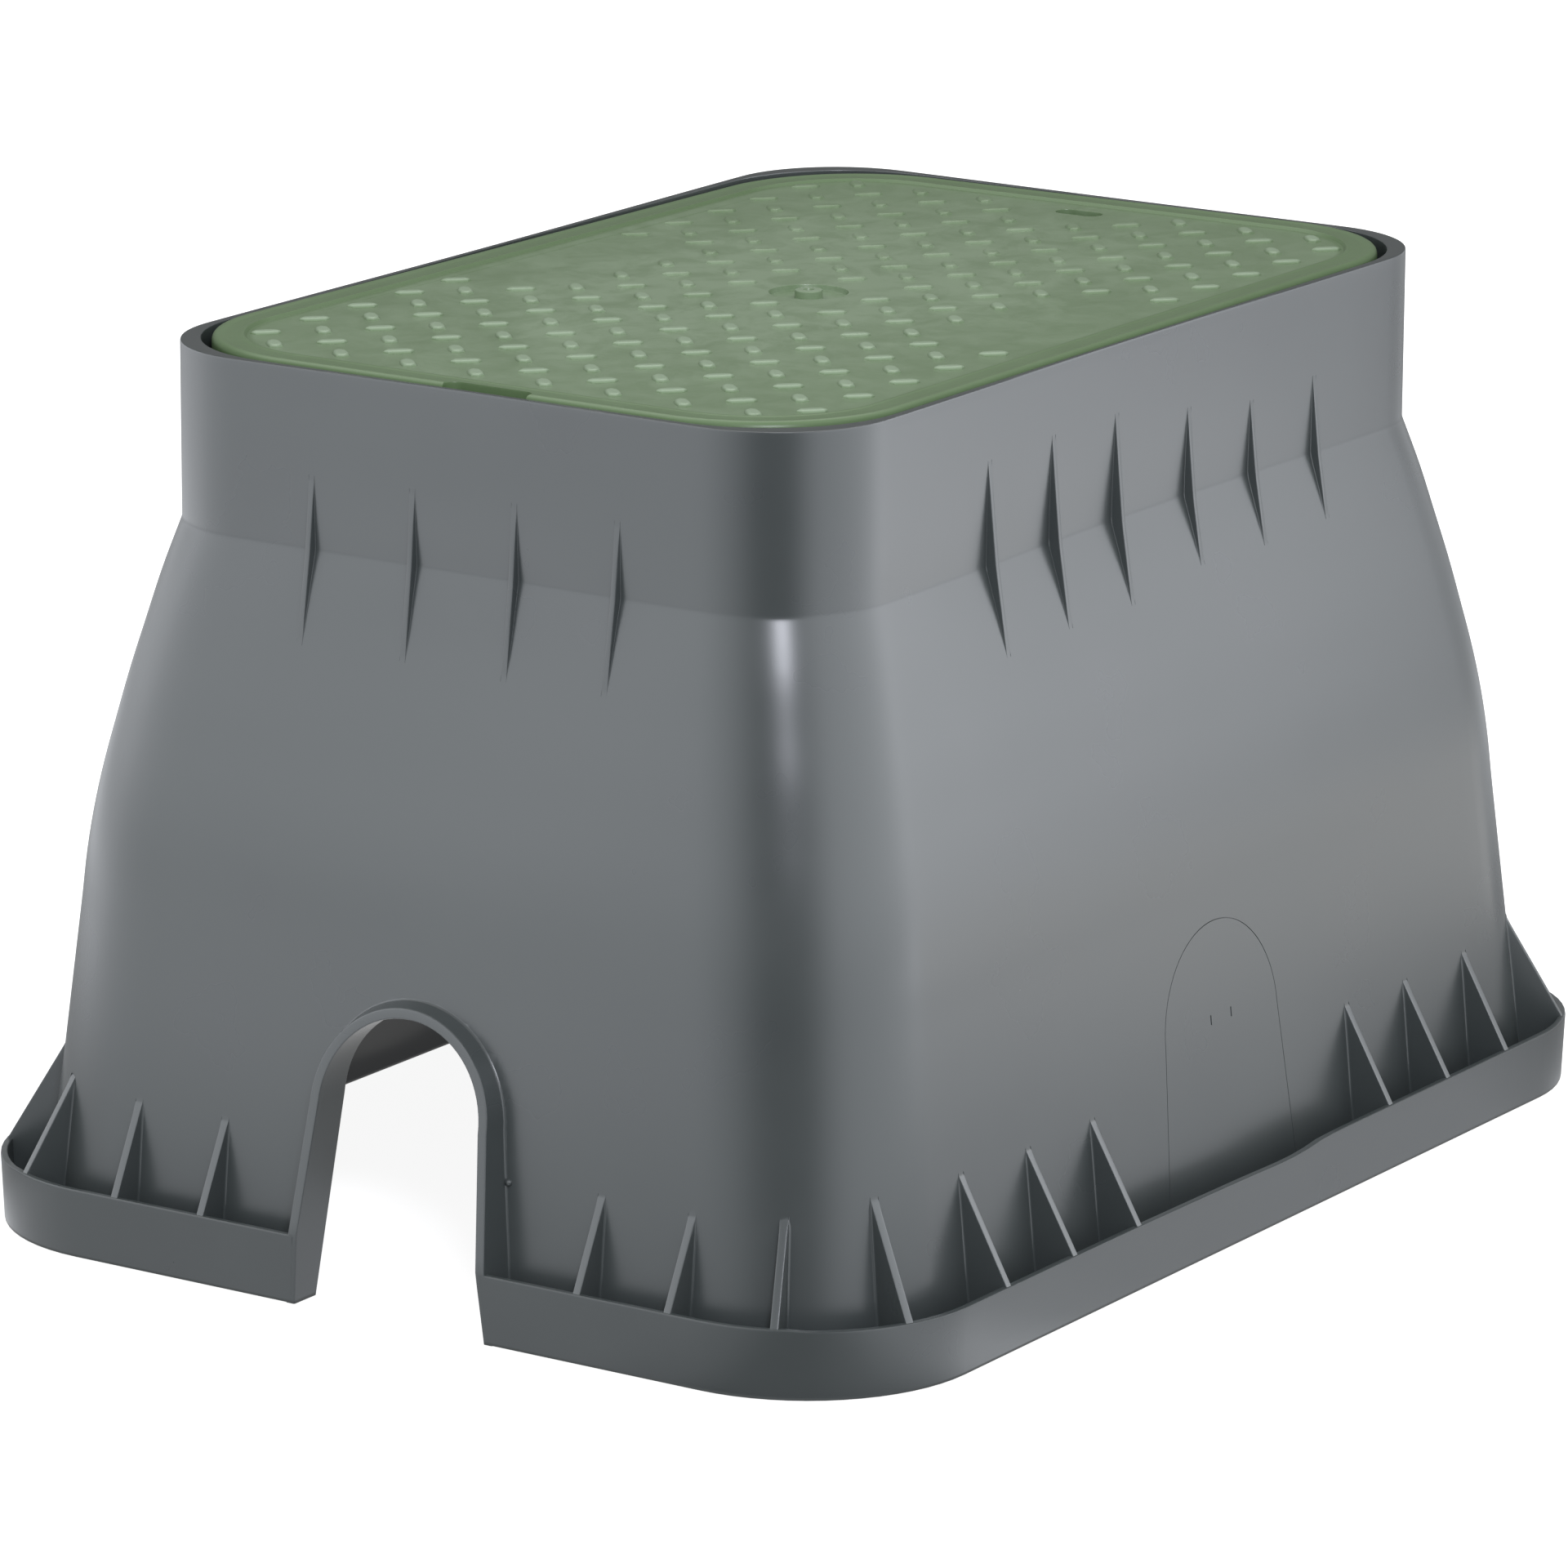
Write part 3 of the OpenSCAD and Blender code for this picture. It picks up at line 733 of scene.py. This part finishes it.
def mouldedPolypropylene(p):
    l = lidSetup
    material = bpy.data.materials.new("mouldedPolypropyleneGreen")
    material.use_nodes = True
    tree = material.node_tree
    shader = tree.nodes["Principled BSDF"]
    place = addNode(tree, "ShaderNodeTexCoord").outputs["Object"]
    cloud = addNode(tree, "ShaderNodeTexNoise", {"Vector": place, "Scale": 1000 / p["cloud"], "Detail": 5, "Roughness": 0.6})
    even = addNode(tree, "ShaderNodeMix", {"Factor": cloud.outputs["Fac"]}, data_type="RGBA")
    even.inputs[6].default_value = toLinear(p["dark"]) + [1]
    even.inputs[7].default_value = toLinear(p["light"]) + [1]
    # where the tread's field lies, inside the raised border
    corner = [(l[side] / 2 - l["radius"]) * mm for side in ("length", "width")]
    flat = addNode(tree, "ShaderNodeVectorMath", {0: place, 1: (1, 1, 0)}, operation="MULTIPLY")
    flat = addNode(tree, "ShaderNodeVectorMath", {0: flat.outputs[0]}, operation="ABSOLUTE")
    flat = addNode(tree, "ShaderNodeVectorMath", {0: flat.outputs[0], 1: corner + [0]}, operation="SUBTRACT")
    flat = addNode(tree, "ShaderNodeVectorMath", {0: flat.outputs[0], 1: (0, 0, 0)}, operation="MAXIMUM")
    flat = addNode(tree, "ShaderNodeVectorMath", {0: flat.outputs[0]}, operation="LENGTH")
    edge = (l["radius"] - l["border"]) * mm
    field = addNode(tree, "ShaderNodeMapRange", {"Value": flat.outputs["Value"], "From Min": edge - 1.5 * mm,
                                                 "From Max": edge - 3 * mm})
    # painted sheen: a pale reflection painted into the tread's field, strongest in the middle and patchy
    away = addNode(tree, "ShaderNodeVectorMath", {0: place, 1: p["paintedSheenAt"]}, operation="SUBTRACT")
    away = addNode(tree, "ShaderNodeVectorMath", {0: away.outputs[0], 1: [1 / c for c in p["paintedSheenSize"]] + [0]}, operation="MULTIPLY")
    away = addNode(tree, "ShaderNodeVectorMath", {0: away.outputs[0]}, operation="LENGTH")
    ragged = addNode(tree, "ShaderNodeMath", {0: away.outputs["Value"], 1: cloud.outputs["Fac"]}, operation="SUBTRACT")
    middle = addNode(tree, "ShaderNodeMapRange", {"Value": ragged.outputs[0], "From Min": 0.8, "From Max": -0.2,
                                                  "To Min": p["fieldPaintedSheen"], "To Max": p["fieldPaintedSheen"] + p["middlePaintedSheen"]},
                     interpolation_type="SMOOTHSTEP")
    paintedSheen = addNode(tree, "ShaderNodeMath", {0: middle.outputs["Result"], 1: field.outputs["Result"]}, operation="MULTIPLY")
    paintedSheenPatch = addNode(tree, "ShaderNodeTexNoise", {"Vector": place, "Scale": 1000 / p["paintedSheenPatch"], "Detail": 6, "Roughness": 0.7,
                                                  "Distortion": 0.6})
    patchy = addNode(tree, "ShaderNodeMapRange", {"Value": paintedSheenPatch.outputs["Fac"], "From Min": 0.38, "From Max": 0.62,
                                                  "To Min": p["paintedSheenPatchReach"][0], "To Max": p["paintedSheenPatchReach"][1]})
    paintedSheen = addNode(tree, "ShaderNodeMath", {0: paintedSheen.outputs[0], 1: patchy.outputs["Result"]}, operation="MULTIPLY",
                    use_clamp=True)
    colour = addNode(tree, "ShaderNodeMix", {"Factor": paintedSheen.outputs[0], 6: even.outputs[2]}, data_type="RGBA")
    colour.inputs[7].default_value = toLinear(p["paintedSheen"]) + [1]
    # painted highlight: the lugs' tops painted lighter, in place of the light they catch
    height = addNode(tree, "ShaderNodeSeparateXYZ", {0: place})
    level = (l["top"] - l["fieldDrop"]) * mm
    low, high = [c * mm for c in p["paintedLugHighlightDepth"]]
    top = addNode(tree, "ShaderNodeMapRange", {"Value": height.outputs["Z"], "From Min": level + low, "From Max": level + high})
    lugHighlightMask = addNode(tree, "ShaderNodeMath", {0: top.outputs["Result"], 1: field.outputs["Result"]}, operation="MULTIPLY")
    highlightedColour = addNode(tree, "ShaderNodeMix", {"Factor": lugHighlightMask.outputs[0], 6: colour.outputs[2]}, data_type="RGBA")
    highlightedColour.inputs[7].default_value = toLinear(p["paintedLugHighlight"]) + [1]
    tree.links.new(highlightedColour.outputs[2], shader.inputs["Base Color"])
    grain = addNode(tree, "ShaderNodeTexNoise", {"Vector": place, "Scale": 1000 / p["grain"], "Detail": 2})
    rough = addNode(tree, "ShaderNodeMapRange", {"Value": cloud.outputs["Fac"], "To Min": p["roughness"] - 0.08,
                                                 "To Max": p["roughness"] + 0.1})
    tree.links.new(rough.outputs["Result"], shader.inputs["Roughness"])
    bump = addNode(tree, "ShaderNodeBump", {"Height": grain.outputs["Fac"], "Strength": 0.4, "Distance": p["grainDepth"] * mm})
    tree.links.new(bump.outputs["Normal"], shader.inputs["Normal"])
    shader.inputs["IOR"].default_value = 1.49
    return material


def finishPiece(piece, material, body, node, angle=32):
    piece.data.materials.clear()
    piece.data.materials.append(material)
    piece.data.shade_smooth()
    piece.data.set_sharp_from_angle(angle=math.radians(angle))
    shade = piece.modifiers.new("evenShade", "WEIGHTED_NORMAL")
    shade.keep_sharp = True
    applyAll(piece)
    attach(piece, body)
    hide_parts(node)


greyPlastic = mouldedPolyethylene(polyethylene)
greenPlastic = mouldedPolypropylene(polypropylene)
finishPiece(box, greyPlastic, "body", "body")
finishPiece(lid, greenPlastic, "lid", "lid")
frame["nodes"]["body"].data.materials.clear()
frame["nodes"]["body"].data.materials.append(greyPlastic)
frame["nodes"]["lid"].data.materials.clear()
frame["nodes"]["lid"].data.materials.append(greenPlastic)
print("materials set")

# ---- floor, surroundings and lamps ----

studio = dict(
    floorSize=8, floorTone=0.32, floorGlow=0.92,
    skyLight=0.95, skyLow=0.75,
    tentRadius=1.15, tentTop=1.2, tableRadius=0.16, clothThrough=0.25,
    # degrees round the box from +X, radiance of the tent's cloth there
    tentLight=[(0, 0.85), (8, 0.63), (17, 0.64), (33, 0.85), (62, 0.9), (88, 2.0), (110, 3.1), (154, 3.3), (168, 2.8),
               (179, 2.3), (188, 1.6), (198, 0.55), (210, 0.12), (219, 0.15), (226, 0.5), (234, 1.8), (245, 3.2), (268, 3.7),
               (290, 4.2), (304, 4.9), (312, 5.0), (319, 3.7), (325, 2.5), (334, 1.6), (344, 1.25), (353, 1.15)],
    # height above the ground, or less the way in from the cloth; share of the radiance
    tentFall=[(-1.15, 0.3), (-0.85, 0.42), (-0.5, 0.62), (-0.28, 1.0), (-0.05, 1.12), (0.03, 0.76), (0.1, 0.64), (0.2, 0.95),
              (0.35, 1), (1.2, 1)],
    # the same for the table close to the box, and from where to where it gives way to the cloth
    tableLight=[(0, 0.4), (60, 0.4), (100, 0.45), (133, 0.55), (137, 0.65), (140, 0.95), (145, 1.25), (165, 1.35), (197, 1.25),
                (204, 0.9), (208, 0.35), (214, 0.35), (219, 0.75), (222, 1.3), (226, 2.0), (230, 2.1), (238, 1.5),
                (250, 1.35), (310, 1.3), (317, 1.0), (321, 0.65), (325, 0.5), (330, 0.4), (352, 0.4)],
    tableReach=(0.4, 0.75),
    # degrees, how much of the dark cloth hangs there above the low strip
    darkCloth=[(0, 0.76), (17, 0.78), (26, 1), (44, 1), (56, 0.78), (80, 0.76), (104, 0), (325, 0), (344, 0.78)],
    darkHeights=(0.22, 0.42), darkShare=0.12,
    flagFrom=298, flagTo=334, flagRadius=0.6, flagHeight=0.085, flagLight=2.3,
    panelLight=1.8, panelSize=(1.9, 1.0), panelAzimuth=60, panelElevation=60, panelDistance=1.5,
    keyAzimuth=218.5, keyElevation=31, keyDistance=2.3, keyWidth=0.36, keyHeight=0.25, keyRadiance=76,
)


def makeFloor(s):
    h = s["floorSize"] / 2 / mm
    floor = makeObject("floor", [(-h, -h, 0), (h, -h, 0), (h, h, 0), (-h, h, 0)], [(0, 1, 2, 3)])
    material = bpy.data.materials.new("studioPaper")
    material.use_nodes = True
    tree = material.node_tree
    tree.nodes.remove(tree.nodes["Principled BSDF"])
    path = addNode(tree, "ShaderNodeLightPath")
    plain = addNode(tree, "ShaderNodeBsdfDiffuse", {"Color": [s["floorTone"]] * 3 + [1]})
    seen = addNode(tree, "ShaderNodeBsdfDiffuse", {"Color": [0.5] * 3 + [1]})
    glow = addNode(tree, "ShaderNodeEmission", {"Color": [1, 1, 1, 1], "Strength": s["floorGlow"]})
    both = addNode(tree, "ShaderNodeAddShader", {0: seen.outputs[0], 1: glow.outputs[0]})
    mix = addNode(tree, "ShaderNodeMixShader", {0: path.outputs["Is Camera Ray"], 1: plain.outputs[0], 2: both.outputs[0]})
    tree.links.new(mix.outputs[0], tree.nodes["Material Output"].inputs["Surface"])
    floor.data.materials.append(material)
    floor.location.z = -0.0004
    floor.visible_glossy = False
    return floor


# a colour ramp used as a curve
def addCurve(tree, value, knots, high):
    ramp = addNode(tree, "ShaderNodeValToRGB", {"Fac": value})
    points = ramp.color_ramp.elements
    while len(points) < len(knots):
        points.new(0.5)
    for point, (x, y) in zip(points, knots):
        point.position = x
        point.color = [y / high] * 3 + [1]
    return addNode(tree, "ShaderNodeMath", {0: ramp.outputs["Color"], 1: high}, operation="MULTIPLY").outputs[0]


def hideFromAllButGloss(thing):
    thing.visible_camera = thing.visible_diffuse = thing.visible_shadow = False
    thing.visible_transmission = thing.visible_volume_scatter = False


# keeps a lit cloth off the lid, which would mirror it as a white sheet from behind
def shineOnly(thing, pieces):
    group = bpy.data.collections.new(thing.name + "Receivers")
    for piece in pieces:
        group.objects.link(piece)
    thing.light_linking.receiver_collection = group


# cloth that glows, and lets a share of the surroundings through
def hangCloth(thing, name, colour, strength, through):
    material = bpy.data.materials.new(name)
    material.use_nodes = True
    tree = material.node_tree
    tree.nodes.remove(tree.nodes["Principled BSDF"])
    glow = addNode(tree, "ShaderNodeEmission", {"Color": colour})
    glow.inputs["Strength"].default_value = 1
    thin = addNode(tree, "ShaderNodeBsdfTransparent", {"Color": (through, through, through, 1)})
    both = addNode(tree, "ShaderNodeAddShader", {0: glow.outputs[0], 1: thin.outputs[0]})
    tree.links.new(both.outputs[0], tree.nodes["Material Output"].inputs["Surface"])
    if strength is not None:
        glow.inputs["Strength"].default_value = strength
    thing.data.materials.append(material)
    return tree, glow


# the light tent round the box, with its white table, that only gloss sees
def makeTent(s):
    count = 96
    radius, top = s["tentRadius"], s["tentTop"]
    rows = ((s["tableRadius"], 0.001), (radius, 0.001), (radius, top))
    points = [(r / mm * math.cos(2 * math.pi * i / count), r / mm * math.sin(2 * math.pi * i / count), z / mm)
              for r, z in rows for i in range(count)]
    faces = [[j * count + i, (j + 1) * count + i, (j + 1) * count + (i + 1) % count, j * count + (i + 1) % count]
             for j in range(len(rows) - 1) for i in range(count)]
    tent = makeObject("lightTent", points, faces)
    tree, glow = hangCloth(tent, "tentCloth", (0.97, 0.995, 1.05, 1), None, s["clothThrough"])
    place = addNode(tree, "ShaderNodeTexCoord").outputs["Object"]
    split = addNode(tree, "ShaderNodeSeparateXYZ", {0: place})
    turn = addNode(tree, "ShaderNodeMath", {0: split.outputs["Y"], 1: split.outputs["X"]}, operation="ARCTAN2").outputs[0]
    share = addNode(tree, "ShaderNodeMath", {0: turn, 1: 2 * math.pi}, operation="DIVIDE").outputs[0]
    share = addNode(tree, "ShaderNodeMath", {0: share, 1: 1.0}, operation="FLOORED_MODULO").outputs[0]
    round_ = addCurve(tree, share, [(a / 360, l) for a, l in s["tentLight"]], 5)
    flat = addNode(tree, "ShaderNodeVectorMath", {0: place, 1: (1, 1, 0)}, operation="MULTIPLY").outputs[0]
    reach = addNode(tree, "ShaderNodeVectorMath", {0: flat}, operation="LENGTH").outputs["Value"]
    rise = addNode(tree, "ShaderNodeMath", {0: split.outputs["Z"], 1: reach}, operation="ADD").outputs[0]
    level = addNode(tree, "ShaderNodeMapRange", {"Value": rise, "From Min": 0, "From Max": radius + top}).outputs["Result"]
    fall = addCurve(tree, level, [((z + radius) / (radius + top), f) for z, f in s["tentFall"]], 1.2)
    hung = addCurve(tree, share, [(a / 360, w) for a, w in s["darkCloth"]], 1)
    low, high = s["darkHeights"]
    above = addNode(tree, "ShaderNodeMapRange", {"Value": split.outputs["Z"], "From Min": low, "From Max": high,
                                                 "To Max": 1 - s["darkShare"]}).outputs["Result"]
    taken = addNode(tree, "ShaderNodeMath", {0: hung, 1: above}, operation="MULTIPLY").outputs[0]
    left = addNode(tree, "ShaderNodeMath", {0: 1.0, 1: taken}, operation="SUBTRACT").outputs[0]
    strength = addNode(tree, "ShaderNodeMath", {0: round_, 1: fall}, operation="MULTIPLY").outputs[0]
    strength = addNode(tree, "ShaderNodeMath", {0: strength, 1: left}, operation="MULTIPLY").outputs[0]
    table = addCurve(tree, share, [(a / 360, l) for a, l in s["tableLight"]], 3)
    near, far = s["tableReach"]
    strength = addNode(tree, "ShaderNodeMapRange", {"Value": reach, "From Min": near, "From Max": far,
                                                    "To Min": table, "To Max": strength}).outputs["Result"]
    strength = addNode(tree, "ShaderNodeMath", {0: strength, 1: s["clothThrough"] * s["skyLight"]}, operation="SUBTRACT")
    strength.use_clamp = False
    strength = addNode(tree, "ShaderNodeMath", {0: strength.outputs[0], 1: 0.0}, operation="MAXIMUM").outputs[0]
    tree.links.new(strength, glow.inputs["Strength"])
    hideFromAllButGloss(tent)
    shineOnly(tent, [box])


# a low grey flag on the table, that keeps the foot of the long side darker than its neck
def makeFlag(s):
    steps = 16
    turns = [math.radians(s["flagFrom"] + (s["flagTo"] - s["flagFrom"]) * i / steps) for i in range(steps + 1)]
    r = s["flagRadius"] / mm
    points = [(r * math.cos(t), r * math.sin(t), z / mm) for z in (0.002, s["flagHeight"]) for t in turns]
    faces = [(i, i + 1, steps + 2 + i, steps + 1 + i) for i in range(steps)]
    flag = makeObject("lowFlag", points, faces)
    hangCloth(flag, "flagCloth", (1, 1, 1, 1), s["flagLight"], 0)
    hideFromAllButGloss(flag)
    shineOnly(flag, [box])


# a lit panel above and behind, that draws the edges and the lid's lugs as light lines
def makePanel(s):
    a, e = math.radians(s["panelAzimuth"]), math.radians(s["panelElevation"])
    w, h = [c / 2 / mm for c in s["panelSize"]]
    panel = makeObject("overPanel", [(-w, -h, 0), (w, -h, 0), (w, h, 0), (-w, h, 0)], [(0, 1, 2, 3)])
    away = Vector((math.cos(e) * math.cos(a), math.cos(e) * math.sin(a), math.sin(e)))
    panel.location = Vector((0, 0, 0.3)) + s["panelDistance"] * away
    panel.rotation_euler = (-away).to_track_quat("-Z", "Y").to_euler()
    hangCloth(panel, "panelCloth", (1, 1, 1, 1), s["panelLight"], 0)
    hideFromAllButGloss(panel)


def makeSurroundings(s):
    world = bpy.data.worlds.new("surroundings")
    scene.world = world
    world.use_nodes = True
    tree = world.node_tree
    tree.nodes.clear()
    direction = addNode(tree, "ShaderNodeTexCoord").outputs["Generated"]
    height = addNode(tree, "ShaderNodeSeparateXYZ", {0: direction}).outputs["Z"]
    sky = addNode(tree, "ShaderNodeMapRange", {"Value": height, "From Min": 0, "From Max": 0.9, "To Min": s["skyLow"],
                                               "To Max": s["skyLight"]}).outputs["Result"]
    path = addNode(tree, "ShaderNodeLightPath")
    strength = addNode(tree, "ShaderNodeMix", {0: path.outputs["Is Camera Ray"], 2: sky, 3: 1.0}, data_type="FLOAT").outputs[0]
    light = addNode(tree, "ShaderNodeBackground", {"Color": (1, 1, 1, 1), "Strength": strength})
    addNode(tree, "ShaderNodeOutputWorld", {"Surface": light.outputs[0]})


def makeKeyLamp(s):
    a, e = math.radians(s["keyAzimuth"]), math.radians(s["keyElevation"])
    data = bpy.data.lights.new("keyLamp", "AREA")
    data.shape = "RECTANGLE"
    data.size, data.size_y = s["keyWidth"], s["keyHeight"]
    data.energy = s["keyRadiance"] * math.pi * s["keyWidth"] * s["keyHeight"]
    data.color = (0.96, 0.98, 1.08)
    lamp = bpy.data.objects.new("keyLamp", data)
    scene.collection.objects.link(lamp)
    aim = Vector((-0.1, -0.1, 0.2))
    lamp.location = aim + s["keyDistance"] * Vector((math.cos(e) * math.cos(a), math.cos(e) * math.sin(a), math.sin(e)))
    lamp.rotation_euler = (aim - lamp.location).to_track_quat("-Z", "Y").to_euler()
    return lamp


makeFloor(studio)
makeTent(studio)
makeFlag(studio)
makePanel(studio)
makeSurroundings(studio)
makeKeyLamp(studio)
print("floor, surroundings and lamps set")
